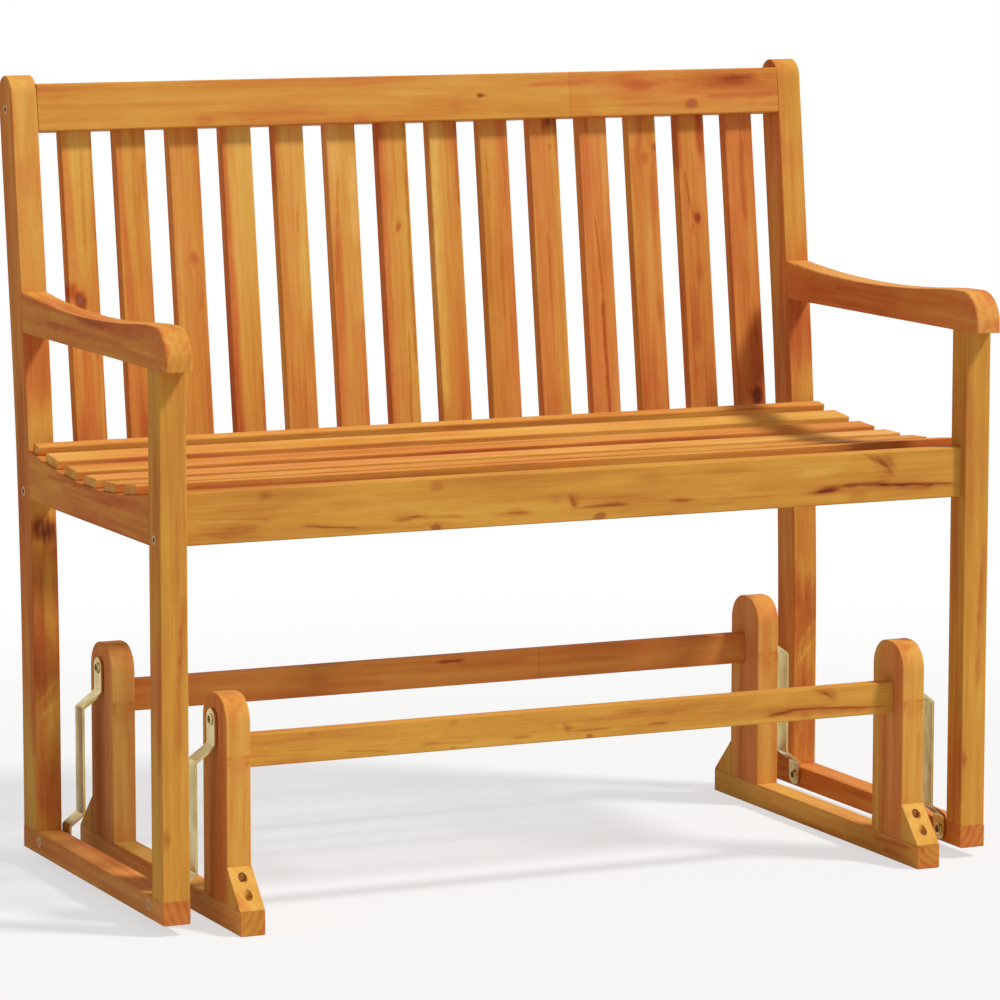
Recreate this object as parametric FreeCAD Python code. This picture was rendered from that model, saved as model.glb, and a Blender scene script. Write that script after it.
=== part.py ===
import FreeCAD, Part
import math
import os

# Two-seat glider bench. A slatted bench hangs by four steel straps from a low standing base.
# Millimetres. +Z is up and the sitter faces -Y. Left and right are those of someone who looks
# at the bench from in front, so that right is +X.
# While the pieces are made, Y starts at the front faces of the front legs. At the end they are
# all moved back, so that the origin is on the floor under the middle of the whole bench.

V = FreeCAD.Vector
X_AXIS = V(1, 0, 0)
Y_AXIS = V(0, 1, 0)
Z_AXIS = V(0, 0, 1)
SIDES = {"left": -1, "right": 1}
ENDS = {"front": -1, "rear": 1}
SAME = 1e-6

# Overall
WIDTH = 1060.0
HEIGHT = 942.0

# Timber sections
FRAME_T = 33.0
LEG_D = 35.0
POST_D = 45.0
RUNNER_H = 27.0
BASE_T = 30.0
FOOT_H = 28.7
UPRIGHT_D = 73.0
EDGE_R = 1.8
ARM_EDGE_R = 3.0

# Glider side frames
RUNNER_Z = 13.0
ARM_Z = 640.0
POST_FACE = 431.5
POST_BEND_Z = 200.0
POST_BEND_R = 3750.0
POST_LEAN = 6.8

# Armrests: a round nose ahead of the leg, a low crest over it, then a long shallow dish
ARM_NOSE_AHEAD = 22.6
ARM_NOSE_R = 38.0
ARM_NOSE_FLAT = 10.0
ARM_CREST_R = 780.0
ARM_CREST_TURN = 5.1
ARM_DISH_R = 1970.0
ARM_BACK_Y = 461.0
JOINT_OVERRUN = 35.0

# Seat
RAIL_Z = 441.0
RAIL_H = 60.0
FRONT_RAIL_T = 22.0
FRONT_RAIL_SET = 9.0
REAR_RAIL_T = 28.0
REAR_RAIL_H = 45.5
REAR_RAIL_SET = 10.2
BEARER_T = 22.0
SEAT_LOW_Z = 482.3
SEAT_LOW_Y = 230.0
SEAT_R = 1200.0
SEAT_SLAT_T = 11.0
SEAT_SLAT_W = 40.0
SEAT_SLAT_END = 2.5
SEAT_SLATS = 6
SEAT_FIRST_Y = 80.5
SEAT_PITCH = 66.6
REAR_SLAT_W = 19.0

# Back
TOP_RAIL_T = 42.0
TOP_RAIL_H = 56.8
TOP_RAIL_Z = 876.4
BACK_SLATS = 14
BACK_SLAT_W = 39.5
BACK_SLAT_T = 15.5
BACK_PITCH = 68.55
MORTISE = 12.0
BACK_FOOT_Y = 456.9
BACK_HEAD_Y = 508.2
BACK_HEAD_Z = 874.2

# Base
BASE_MID = 233.7
FOOT_HALF = 266.3
UPRIGHT_IN_X = 419.6
UPRIGHT_TOP_Z = 266.3
UPRIGHT_SHOULDER_R = 32.0
UPRIGHT_AHEAD = 1.35
BRACE_H = 43.3
STRETCHER_H = 38.0
STRETCHER_T = 18.0
STRETCHER_Y = 203.35
STRETCHER_Z = 180.0
TENON_L = 14.0
TENON_SHOULDER = 5.0

# Hangers and their pivots
STRAP_W = 25.0
STRAP_T = 3.0
STRAP_RUN_X = 476.4
STRAP_BEND_R = 4.5
PIVOT_Y = 187.5
UPPER_PIVOT_Z = 236.0
LOWER_PIVOT_Z = 29.0
STRAP_CRANK_Z = (207.0, 189.0, 61.0, 47.0)
PIVOT_R = 4.0
RUNNING_FIT = 0.08
WASHER_T = 1.0
WASHER_R = 9.0
BOLT_HEAD_R = 7.0
BOLT_HEAD_H = 4.0
BOLT_DOME_R = 2.8
SOCKET_SIDES = 6
SOCKET_AF = 5.0
SOCKET_DEEP = 2.5
UPPER_BOLT_IN = 24.0
SLEEVE_R = 5.5
SLEEVE_CAP_R = 6.5
SLEEVE_CAP_T = 1.6
SLEEVE_L = 20.0

# Connector bolts, dowels and wood screws
BOLT_SHANK_R = 3.0
BOLT_CAP_R = 5.5
BOLT_CAP_T = 3.0
BOLT_REACH = 42.0
SEAT_BOLT_Z = 449.0
FRONT_BOLT_Y = 18.5
REAR_BOLT_Y = 462.3
DOWEL_R = 5.0
DOWEL_HALF = 12.0
RAIL_DOWEL_Z = 465.0
ARM_DOWEL_Z = 660.0
FIT_GAP = 0.05
SCREW_R = 2.2
SCREW_HEAD_R = 4.2
SCREW_HEAD_H = 3.0
COUNTERBORE_R = 5.25
BRACE_SCREW_L = 40.0
FOOT_SCREW_L = 30.0
BRACE_SCREW_UP = 32.0
BRACE_SCREW_SEAT = 4.0
FOOT_SCREW_OUT = 26.0
FOOT_SCREW_SEAT = 9.0
UPRIGHT_SCREW_Y = 22.0
UPRIGHT_SCREW_SEAT = 8.0
SLAT_SCREW_L = 34.0
SLAT_SCREW_BITE = 7.0

FRAME_FOOT_Z = RUNNER_Z + RUNNER_H
HALF_WIDTH = WIDTH / 2
FRAME_IN_X = HALF_WIDTH - FRAME_T
FRAME_MID_X = HALF_WIDTH - FRAME_T / 2
UPRIGHT_OUT_X = UPRIGHT_IN_X + BASE_T
FRONT_RAIL_BACK = FRONT_RAIL_SET + FRONT_RAIL_T
REAR_RAIL_Y = POST_FACE + REAR_RAIL_SET
LEAN = math.radians(POST_LEAN)
UP_LEAN = V(0, math.sin(LEAN), math.cos(LEAN))
BACK_LEAN = V(0, math.cos(LEAN), -math.sin(LEAN))


def yz(y, z):
    """A point of a side outline."""
    return V(0, y, z)


def line(a, b):
    """A straight edge between two points."""
    return Part.LineSegment(a, b).toShape()


def arc(a, middle, b):
    """A circular edge through three points."""
    return Part.Arc(a, middle, b).toShape()


def rod(start, axis, radius, length):
    """A round bar from start along axis."""
    return Part.makeCylinder(radius, length, start, axis)


def box(x_range, y_range, z_range):
    """A block between two corners, given in any order."""
    lows = [min(r) for r in (x_range, y_range, z_range)]
    sizes = [abs(r[1] - r[0]) for r in (x_range, y_range, z_range)]
    return Part.makeBox(sizes[0], sizes[1], sizes[2], V(*lows))


def parallel(edge, axis):
    """True for a straight edge that runs along axis."""
    if not isinstance(edge.Curve, Part.Line):
        return False
    run = edge.Vertexes[-1].Point - edge.Vertexes[0].Point
    return abs(abs(run.dot(axis)) - run.Length) < SAME


def board(x_range, y_range, z_range, grain):
    """A planed board whose four edges along the grain are eased."""
    blank = box(x_range, y_range, z_range)
    return blank.makeFillet(EDGE_R, [e for e in blank.Edges if parallel(e, grain)])


def plank(outline, x_range):
    """A plank sawn to a closed outline of edges in the YZ plane."""
    face = Part.Face(Part.Wire(outline))
    face.translate(V(min(x_range), 0, 0))
    return face.extrude(V(abs(x_range[1] - x_range[0]), 0, 0))


def ease(blank, radius, chosen):
    """Round the outline edges of a plank that the chosen test accepts."""
    rims = [e for e in blank.Edges if not parallel(e, X_AXIS) and chosen(e.CenterOfMass)]
    return blank.makeFillet(radius, rims)


def cut_all(shape, tools):
    """Take away every tool that reaches into the shape."""
    for tool in tools:
        if shape.BoundBox.intersect(tool.BoundBox):
            shape = shape.cut(tool)
    return shape


def foremost(shape):
    """The foremost solid of what a cut has left."""
    return min(shape.Solids, key=lambda solid: solid.BoundBox.YMin)


def frame_x(side):
    """The X range of one glider side frame."""
    return (side * FRAME_IN_X, side * HALF_WIDTH)


def base_x(side):
    """The X range of one side of the base."""
    return (side * UPRIGHT_IN_X, side * UPRIGHT_OUT_X)


def hollow_rise(y, low_y, radius):
    """How far a round hollow has risen at y above its lowest point at low_y."""
    return radius - math.sqrt(radius ** 2 - (y - low_y) ** 2)


def seat_curve(y):
    """Height of the hollowed top of the seat rails."""
    return SEAT_LOW_Z + hollow_rise(y, SEAT_LOW_Y, SEAT_R)


def pivot_y(end):
    """The Y of the hangers' pivots at one end."""
    return BASE_MID + end * PIVOT_Y


def upright_mid(end):
    """The Y of the middle of an upright, a little ahead of its pivot."""
    return pivot_y(end) - UPRIGHT_AHEAD


def upright_face(end):
    """The Y of the outward face of an upright, where its brace stands."""
    return upright_mid(end) + end * UPRIGHT_D / 2


def bend_point(depth, angle):
    """A point of the posts' bend, depth behind their front face."""
    r = POST_BEND_R - depth
    return yz(POST_FACE + POST_BEND_R - r * math.cos(angle), POST_BEND_Z + r * math.sin(angle))


def post_front_at(z):
    """The leaning front face of the posts, above the bend."""
    end = bend_point(0, LEAN)
    return end + UP_LEAN * ((z - end.z) / UP_LEAN.z)


def post_head():
    """Centre of the posts' round heads."""
    middle = bend_point(POST_D / 2, LEAN)
    return middle + UP_LEAN * ((HEIGHT - POST_D / 2 - middle.z) / UP_LEAN.z)


def post_blank(side):
    """A post before its edges are eased: upright below, bent gently back, with a round head."""
    head = post_head()
    front_end = bend_point(0, LEAN)
    back_end = bend_point(POST_D, LEAN)
    front_head = head - BACK_LEAN * (POST_D / 2)
    back_head = head + BACK_LEAN * (POST_D / 2)
    foot = yz(POST_FACE, FRAME_FOOT_Z)
    heel = yz(POST_FACE + POST_D, FRAME_FOOT_Z)
    outline = [
        line(foot, bend_point(0, 0)),
        arc(bend_point(0, 0), bend_point(0, LEAN / 2), front_end),
        line(front_end, front_head),
        arc(front_head, head + UP_LEAN * (POST_D / 2), back_head),
        line(back_head, back_end),
        arc(back_end, bend_point(POST_D, LEAN / 2), bend_point(POST_D, 0)),
        line(bend_point(POST_D, 0), heel),
        line(heel, foot),
    ]
    return plank(outline, frame_x(side))


def rear_post(side):
    """Rear post, eased everywhere except at its foot."""
    return ease(post_blank(side), EDGE_R, lambda p: p.z > FRAME_FOOT_Z + EDGE_R)


def front_leg(side):
    """Square leg between the runner and the armrest."""
    return board(frame_x(side), (0, LEG_D), (FRAME_FOOT_Z, ARM_Z), Z_AXIS)


def runner(side):
    """Bottom rail of a side frame; the leg and the post stand on it."""
    return board(frame_x(side), (0, POST_FACE + POST_D), (RUNNER_Z, FRAME_FOOT_Z), Y_AXIS)


def hollowed_rail(x_range, y_range):
    """A seat rail with a straight bottom and a hollowed top."""
    y0, y1 = y_range
    lows = (yz(y0, RAIL_Z), yz(y1, RAIL_Z))
    tops = (yz(y0, seat_curve(y0)), yz(y1, seat_curve(y1)))
    outline = [
        line(lows[0], lows[1]),
        line(lows[1], tops[1]),
        arc(tops[1], yz(SEAT_LOW_Y, SEAT_LOW_Z), tops[0]),
        line(tops[0], lows[0]),
    ]
    return plank(outline, x_range)


def seat_side_rail(side):
    """Seat rail of a side frame, from the leg to the post."""
    rail = hollowed_rail(frame_x(side), (LEG_D, POST_FACE + JOINT_OVERRUN))
    return foremost(rail.cut(post_blank(side)))


def heading(degrees):
    """The direction turned from straight up towards the rear."""
    return yz(math.sin(math.radians(degrees)), math.cos(math.radians(degrees)))


def armrest(side):
    """Arm with a round nose and a dished top; it lies on the leg and butts against the post.
    Nose, crest and dish run into each other without a corner."""
    nose_y = -ARM_NOSE_AHEAD
    chin = yz(nose_y, ARM_Z + ARM_NOSE_FLAT)
    nose_hub = chin + Y_AXIS * ARM_NOSE_R
    crest = nose_hub + Z_AXIS * ARM_NOSE_R
    crest_hub = crest - Z_AXIS * ARM_CREST_R
    fall = crest_hub + heading(ARM_CREST_TURN) * ARM_CREST_R
    dish_hub = fall + heading(ARM_CREST_TURN) * ARM_DISH_R
    dish_low = dish_hub - Z_AXIS * ARM_DISH_R
    back_top = yz(ARM_BACK_Y, dish_low.z + hollow_rise(ARM_BACK_Y, dish_hub.y, ARM_DISH_R))
    end_top = back_top + Y_AXIS * JOINT_OVERRUN
    end = yz(end_top.y, ARM_Z)
    outline = [
        line(yz(nose_y, ARM_Z), chin),
        arc(chin, nose_hub + heading(-45) * ARM_NOSE_R, crest),
        arc(crest, crest_hub + heading(ARM_CREST_TURN / 2) * ARM_CREST_R, fall),
        arc(fall, dish_low, back_top),
        line(back_top, end_top),
        line(end_top, end),
        line(end, yz(nose_y, ARM_Z)),
    ]
    blank = foremost(plank(outline, frame_x(side)).cut(post_blank(side)))
    joint_y = post_front_at(ARM_Z).y
    return ease(blank, ARM_EDGE_R, lambda p: p.z > ARM_Z + EDGE_R and p.y < joint_y)


def prism(corners, x_range):
    """A straight piece of one section, given by its corners in the YZ plane."""
    outline = [line(a, b) for a, b in zip(corners, corners[1:] + corners[:1])]
    return plank(outline, x_range)


def eased_prism(corners, x_range):
    """A prism whose long edges are eased."""
    blank = prism(corners, x_range)
    return blank.makeFillet(EDGE_R, [e for e in blank.Edges if parallel(e, X_AXIS)])


def back_top_rail():
    """Top rail of the back, square to the leaning posts and flush with their front."""
    low = post_front_at(TOP_RAIL_Z)
    up = UP_LEAN * TOP_RAIL_H
    through = BACK_LEAN * TOP_RAIL_T
    corners = [low, low + up, low + up + through, low + through]
    return eased_prism(corners, (-FRAME_IN_X, FRAME_IN_X))


def seat_slat(front_y, width):
    """A slat that lies on the hollow of the seat rails and is tilted with it."""
    a = yz(front_y, seat_curve(front_y))
    b = yz(front_y + width, seat_curve(front_y + width))
    along = (b - a).normalize()
    up = yz(-along.z, along.y) * SEAT_SLAT_T
    half = HALF_WIDTH - SEAT_SLAT_END
    return eased_prism([a, b, b + up, a + up], (-half, half))


def seat_slat_places():
    """Front edge and width of each seat slat; the last, at the back, is a narrow one."""
    widths = [SEAT_SLAT_W] * (SEAT_SLATS - 1) + [REAR_SLAT_W]
    return [(SEAT_FIRST_Y + i * SEAT_PITCH, width) for i, width in enumerate(widths)]


def back_slat_x():
    """The middles of the back slats, from left to right."""
    return [(i - (BACK_SLATS - 1) / 2) * BACK_PITCH for i in range(BACK_SLATS)]


def back_slat(x, eased):
    """A straight slat, let into the rear seat rail and the top rail. Not eased, it is the
    square-cornered space that its mortises are cut by."""
    foot_z = RAIL_Z + REAR_RAIL_H
    run = yz(BACK_HEAD_Y - BACK_FOOT_Y, BACK_HEAD_Z - foot_z)
    half_w = BACK_SLAT_W / 2
    half_t = BACK_SLAT_T / 2
    block = ((-half_w, half_w), (-half_t, half_t), (-MORTISE, run.Length + MORTISE))
    slat = board(*block, Z_AXIS) if eased else box(*block)
    slat.rotate(V(0, 0, 0), X_AXIS, -math.degrees(math.atan2(run.y, run.z)))
    slat.translate(V(x, BACK_FOOT_Y, foot_z))
    return slat


def upright(side, end):
    """Base upright; two round shoulders and a short flat make its head."""
    y0 = upright_mid(end) - UPRIGHT_D / 2
    y1 = y0 + UPRIGHT_D
    front_hub = yz(y0 + UPRIGHT_SHOULDER_R, UPRIGHT_TOP_Z - UPRIGHT_SHOULDER_R)
    rear_hub = yz(y1 - UPRIGHT_SHOULDER_R, front_hub.z)
    outline = [
        line(yz(y0, FOOT_H), yz(y1, FOOT_H)),
        line(yz(y1, FOOT_H), yz(y1, rear_hub.z)),
        arc(
            yz(y1, rear_hub.z),
            rear_hub + heading(45) * UPRIGHT_SHOULDER_R,
            yz(rear_hub.y, UPRIGHT_TOP_Z),
        ),
        line(yz(rear_hub.y, UPRIGHT_TOP_Z), yz(front_hub.y, UPRIGHT_TOP_Z)),
        arc(
            yz(front_hub.y, UPRIGHT_TOP_Z),
            front_hub + heading(-45) * UPRIGHT_SHOULDER_R,
            yz(y0, front_hub.z),
        ),
        line(yz(y0, front_hub.z), yz(y0, FOOT_H)),
    ]
    return ease(plank(outline, base_x(side)), EDGE_R, lambda p: p.z > FOOT_H + EDGE_R)


def foot(side):
    """Long foot that stands on the floor."""
    return board(base_x(side), (BASE_MID - FOOT_HALF, BASE_MID + FOOT_HALF), (0, FOOT_H), Y_AXIS)


def brace(side, end):
    """Triangular block in the corner between an upright and the end of its foot."""
    heel = upright_face(end)
    toe = BASE_MID + end * FOOT_HALF
    corners = [yz(heel, FOOT_H), yz(toe, FOOT_H), yz(heel, FOOT_H + BRACE_H)]
    return prism(corners, base_x(side))


def stretcher(end):
    """Rail between two uprights, with a shouldered tenon at each end."""
    face_y = BASE_MID + end * STRETCHER_Y
    back_y = face_y - end * STRETCHER_T
    z_range = (STRETCHER_Z, STRETCHER_Z + STRETCHER_H)
    rail = board((-UPRIGHT_IN_X, UPRIGHT_IN_X), (face_y, back_y), z_range, X_AXIS)
    tenon_x = UPRIGHT_IN_X + TENON_L
    tenon_y = (face_y - end * TENON_SHOULDER, back_y + end * TENON_SHOULDER)
    tenon_z = (z_range[0] + TENON_SHOULDER, z_range[1] - TENON_SHOULDER)
    return rail.fuse(box((-tenon_x, tenon_x), tenon_y, tenon_z))


def bent_path(points, radius):
    """Straight runs joined by tangent arcs."""
    edges = []
    start = points[0]
    for before, corner, after in zip(points, points[1:], points[2:]):
        back = (before - corner).normalize()
        ahead = (after - corner).normalize()
        half = back.getAngle(ahead) / 2
        reach = radius / math.tan(half)
        inward = (back + ahead).normalize()
        middle = corner + inward * (radius / math.sin(half) - radius)
        edges.append(line(start, corner + back * reach))
        edges.append(arc(corner + back * reach, middle, corner + ahead * reach))
        start = corner + ahead * reach
    edges.append(line(start, points[-1]))
    return Part.Wire(edges)


def hanger(side, end):
    """Flat steel strap, cranked outwards twice, round and bored at both ends."""
    y = pivot_y(end)
    upper_x = side * (UPRIGHT_OUT_X + WASHER_T + STRAP_T / 2)
    run_x = side * STRAP_RUN_X
    lower_x = side * (FRAME_IN_X - WASHER_T - STRAP_T / 2)
    xs = [upper_x, upper_x, run_x, run_x, lower_x, lower_x]
    zs = [UPPER_PIVOT_Z + STRAP_W, *STRAP_CRANK_Z, LOWER_PIVOT_Z - STRAP_W]
    path = bent_path([V(x, y, z) for x, z in zip(xs, zs)], STRAP_BEND_R)
    top = path.Vertexes[0].Point
    across = V(0, STRAP_W / 2, 0)
    through = V(STRAP_T / 2, 0, 0)
    corners = [top - across - through, top - across + through, top + across + through]
    corners += [top + across - through, corners[0]]
    strap = path.makePipeShell([Part.makePolygon(corners)], True, False)

    near_x = min(upper_x, lower_x) - STRAP_T
    span = abs(lower_x - upper_x) + 2 * STRAP_T
    z_range = (LOWER_PIVOT_Z, UPPER_PIVOT_Z)
    outline = box((near_x, near_x + span), (y - STRAP_W / 2, y + STRAP_W / 2), z_range)
    for z in z_range:
        outline = outline.fuse(rod(V(near_x, y, z), X_AXIS, STRAP_W / 2, span))
    strap = strap.common(outline)
    holes = [rod(V(near_x, y, z), X_AXIS, PIVOT_R + RUNNING_FIT, span) for z in z_range]
    return cut_all(strap, holes)


def hexagon(start, axis, length):
    """A six-sided prism for a driver, along X from start."""
    corner_r = SOCKET_AF / 2 / math.cos(math.pi / SOCKET_SIDES)
    turns = [2 * math.pi * i / SOCKET_SIDES for i in range(SOCKET_SIDES + 1)]
    points = [start + yz(math.cos(t), math.sin(t)) * corner_r for t in turns]
    return Part.Face(Part.makePolygon(points)).extrude(axis * length)


def pivot_bolt(face, outward, shank_l):
    """Shoulder bolt: a low domed head with a socket on face, and a plain shank behind it."""
    head = rod(face, outward, BOLT_HEAD_R, BOLT_HEAD_H)
    rims = [e for e in head.Edges if (e.CenterOfMass - face).dot(outward) > BOLT_HEAD_H - SAME]
    head = head.makeFillet(BOLT_DOME_R, rims)
    head = head.cut(hexagon(face + outward * (BOLT_HEAD_H - SOCKET_DEEP), outward, BOLT_HEAD_H))
    return head.fuse(rod(face, outward * -1, PIVOT_R, shank_l))


def washer(start, axis):
    """Plain washer that keeps a hanger off the timber."""
    ring = rod(start, axis, WASHER_R, WASHER_T)
    return ring.cut(rod(start, axis, PIVOT_R + FIT_GAP, WASHER_T))


def pivots(z):
    """The four pivots at one height: the outward direction and the point on the middle plane."""
    return [(V(side, 0, 0), yz(pivot_y(end), z))
            for side in SIDES.values() for end in ENDS.values()]


def upper_pivots():
    """Shoulder bolts that carry the hangers on the uprights, with their bores and washers."""
    shank_l = STRAP_T + WASHER_T + UPPER_BOLT_IN
    bolts = []
    bores = []
    washers = []
    for outward, place in pivots(UPPER_PIVOT_Z):
        wood = place + outward * UPRIGHT_OUT_X
        face = wood + outward * (WASHER_T + STRAP_T + RUNNING_FIT)
        bolts.append(pivot_bolt(face, outward, shank_l))
        bores.append(rod(face, outward * -1, PIVOT_R + FIT_GAP, shank_l + FIT_GAP))
        washers.append(washer(wood, outward))
    return bolts, bores, washers


def lower_pivots():
    """Shoulder bolts through the runners from inside, with their sleeves, bores and washers."""
    shank_l = STRAP_T + WASHER_T + FRAME_T - 2 * SLEEVE_CAP_T
    bolts = []
    sleeves = []
    bores = []
    washers = []
    for outward, place in pivots(LOWER_PIVOT_Z):
        inward = outward * -1
        wood = place + outward * FRAME_IN_X
        outer = place + outward * HALF_WIDTH
        face = wood + inward * (WASHER_T + STRAP_T + RUNNING_FIT)
        bolts.append(pivot_bolt(face, inward, shank_l))
        sleeve = rod(outer, inward, SLEEVE_CAP_R, SLEEVE_CAP_T)
        sleeve = sleeve.fuse(rod(outer, inward, SLEEVE_R, SLEEVE_L))
        hollow = rod(outer + inward * SLEEVE_CAP_T, inward, PIVOT_R + FIT_GAP, SLEEVE_L)
        sleeves.append(sleeve.cut(hollow))
        bores.append(rod(outer, inward, SLEEVE_CAP_R + FIT_GAP, SLEEVE_CAP_T))
        bores.append(rod(outer, inward, SLEEVE_R + FIT_GAP, SLEEVE_L))
        bores.append(rod(outer, inward, PIVOT_R + FIT_GAP, FRAME_T))
        washers.append(washer(wood, inward))
    return bolts, sleeves, bores, washers


def connector_bolts():
    """Flat-capped bolts through the legs and posts into the ends of the cross rails."""
    rail_mid = post_front_at(TOP_RAIL_Z) + UP_LEAN * (TOP_RAIL_H / 2) + BACK_LEAN * (POST_D / 2)
    places = [yz(FRONT_BOLT_Y, SEAT_BOLT_Z), yz(REAR_BOLT_Y, SEAT_BOLT_Z), rail_mid]
    reach = FRAME_T + BOLT_REACH
    bolts = []
    bores = []
    for side in SIDES.values():
        inward = V(-side, 0, 0)
        for place in places:
            outer = place - inward * HALF_WIDTH
            cap = rod(outer, inward, BOLT_CAP_R, BOLT_CAP_T)
            bolt = cap.fuse(rod(outer, inward, BOLT_SHANK_R, reach))
            bolts.append(bolt.cut(hexagon(outer, inward, SOCKET_DEEP)))
            bores.append(rod(outer, inward, BOLT_CAP_R + FIT_GAP, BOLT_CAP_T))
            bores.append(rod(outer, inward, BOLT_SHANK_R + FIT_GAP, reach + FIT_GAP))
    return bolts, bores


def frame_dowels():
    """Hidden dowels at the butt joints inside each side frame."""
    rail_joint = POST_FACE + (RAIL_DOWEL_Z - POST_BEND_Z) ** 2 / (2 * POST_BEND_R)
    places = [
        (yz(LEG_D / 2, FRAME_FOOT_Z), Z_AXIS),
        (yz(POST_FACE + POST_D / 2, FRAME_FOOT_Z), Z_AXIS),
        (yz(LEG_D / 2, ARM_Z), Z_AXIS),
        (yz(LEG_D, RAIL_DOWEL_Z), Y_AXIS),
        (yz(rail_joint, RAIL_DOWEL_Z), Y_AXIS),
        (post_front_at(ARM_DOWEL_Z), Y_AXIS),
    ]
    dowels = []
    bores = []
    for side in SIDES.values():
        for joint, axis in places:
            start = joint + V(side * FRAME_MID_X, 0, 0) - axis * DOWEL_HALF
            dowels.append(rod(start, axis, DOWEL_R, 2 * DOWEL_HALF))
            deeper = 2 * (DOWEL_HALF + FIT_GAP)
            bores.append(rod(start - axis * FIT_GAP, axis, DOWEL_R + FIT_GAP, deeper))
    return dowels, bores


def wood_screw(seat, drive, length):
    """Cylinder-head wood screw without its thread; seat is the underside of the head."""
    head = rod(seat - drive * SCREW_HEAD_H, drive, SCREW_HEAD_R, SCREW_HEAD_H)
    return head.fuse(rod(seat, drive, SCREW_R, length))


def screw_bores(seat, drive, length, entry):
    """Shank hole of a screw, and the counterbore through which its head comes in."""
    shank = rod(seat, drive, SCREW_R + FIT_GAP, length + FIT_GAP)
    return [rod(seat, drive * -1, COUNTERBORE_R, entry), shank]


def brace_screws(side, end):
    """Each brace's two screws: one level into the upright, one straight down into the foot."""
    x = side * (UPRIGHT_IN_X + BASE_T / 2)
    heel = upright_face(end)
    level = V(x, heel + end * BRACE_SCREW_SEAT, FOOT_H + BRACE_SCREW_UP)
    plumb = V(x, heel + end * FOOT_SCREW_OUT, FOOT_H + FOOT_SCREW_SEAT)
    return [
        (level, Y_AXIS * -end, BRACE_SCREW_L, BRACE_H),
        (plumb, Z_AXIS * -1, FOOT_SCREW_L, BRACE_H),
    ]


def upright_screws(side, end):
    """Two screws up through the foot into each upright."""
    x = side * (UPRIGHT_IN_X + BASE_T / 2)
    ys = (upright_mid(end) - UPRIGHT_SCREW_Y, upright_mid(end) + UPRIGHT_SCREW_Y)
    return [(V(x, y, UPRIGHT_SCREW_SEAT), Z_AXIS, BRACE_SCREW_L, UPRIGHT_SCREW_SEAT) for y in ys]


def slat_screws():
    """Screws up through the side rails and the bearer into every seat slat."""
    screws = []
    for front_y, width in seat_slat_places():
        y = front_y + width / 2
        seat_z = seat_curve(y) + SLAT_SCREW_BITE - SLAT_SCREW_L
        for x in (-FRAME_MID_X, 0, FRAME_MID_X):
            screws.append((V(x, y, seat_z), Z_AXIS, SLAT_SCREW_L, seat_z - RAIL_Z))
    return screws


def build_glider():
    """The hanging bench: side frames, seat and back."""
    parts = {}
    dowels, dowel_bores = frame_dowels()
    bolts, bolt_bores = connector_bolts()
    pivot_bolts, sleeves, pivot_bores, washers = lower_pivots()
    screws = slat_screws()
    slat_bores = [bore for screw in screws for bore in screw_bores(*screw)]
    bores = dowel_bores + bolt_bores + pivot_bores + slat_bores
    for name, side in SIDES.items():
        parts[name + "_rear_post"] = rear_post(side)
        parts[name + "_front_leg"] = front_leg(side)
        parts[name + "_runner"] = runner(side)
        parts[name + "_seat_side_rail"] = seat_side_rail(side)
        parts[name + "_armrest"] = armrest(side)

    across = (-FRAME_IN_X, FRAME_IN_X)
    front_rail_y = (FRONT_RAIL_SET, FRONT_RAIL_BACK)
    rear_rail_y = (REAR_RAIL_Y, REAR_RAIL_Y + REAR_RAIL_T)
    bearer_x = (-BEARER_T / 2, BEARER_T / 2)
    parts["seat_front_rail"] = board(across, front_rail_y, (RAIL_Z, RAIL_Z + RAIL_H), X_AXIS)
    parts["seat_rear_rail"] = board(across, rear_rail_y, (RAIL_Z, RAIL_Z + REAR_RAIL_H), X_AXIS)
    parts["seat_centre_bearer"] = hollowed_rail(bearer_x, (FRONT_RAIL_BACK, REAR_RAIL_Y))
    parts["back_top_rail"] = back_top_rail()
    for i, place in enumerate(seat_slat_places()):
        parts["seat_slat_%d" % (i + 1)] = seat_slat(*place)
    mortises = [back_slat(x, False) for x in back_slat_x()]
    for name in ("seat_rear_rail", "back_top_rail"):
        parts[name] = cut_all(parts[name], mortises)
    parts = {name: cut_all(shape, bores) for name, shape in parts.items()}

    for i, x in enumerate(back_slat_x()):
        parts["back_slat_%02d" % (i + 1)] = back_slat(x, True)
    parts["seat_slat_screws"] = Part.makeCompound([wood_screw(*screw[:3]) for screw in screws])
    parts["frame_dowels"] = Part.makeCompound(dowels)
    parts["frame_connector_bolts"] = Part.makeCompound(bolts)
    parts["lower_pivot_bolts"] = Part.makeCompound(pivot_bolts)
    parts["lower_pivot_sleeves"] = Part.makeCompound(sleeves)
    parts["lower_pivot_washers"] = Part.makeCompound(washers)
    return parts


def build_base():
    """The standing base: two feet, four braced uprights and two stretchers."""
    parts = {}
    pivot_bolts, bores, washers = upper_pivots()
    rails = {end: stretcher(end) for end in ENDS.values()}
    screws = []
    for name, side in SIDES.items():
        parts[name + "_foot"] = foot(side)
        for word, end in ENDS.items():
            parts["%s_%s_brace" % (name, word)] = brace(side, end)
            parts["%s_%s_upright" % (name, word)] = upright(side, end).cut(rails[end])
            screws += brace_screws(side, end) + upright_screws(side, end)
    for screw in screws:
        bores += screw_bores(*screw)
    parts = {name: cut_all(shape, bores) for name, shape in parts.items()}

    parts["front_stretcher"] = rails[ENDS["front"]]
    parts["rear_stretcher"] = rails[ENDS["rear"]]
    parts["base_screws"] = Part.makeCompound([wood_screw(*screw[:3]) for screw in screws])
    parts["upper_pivot_bolts"] = Part.makeCompound(pivot_bolts)
    parts["upper_pivot_washers"] = Part.makeCompound(washers)
    return parts


def build_hangers():
    """The four steel straps."""
    return {"%s_%s_hanger" % (name, word): hanger(side, end)
            for name, side in SIDES.items() for word, end in ENDS.items()}


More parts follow.
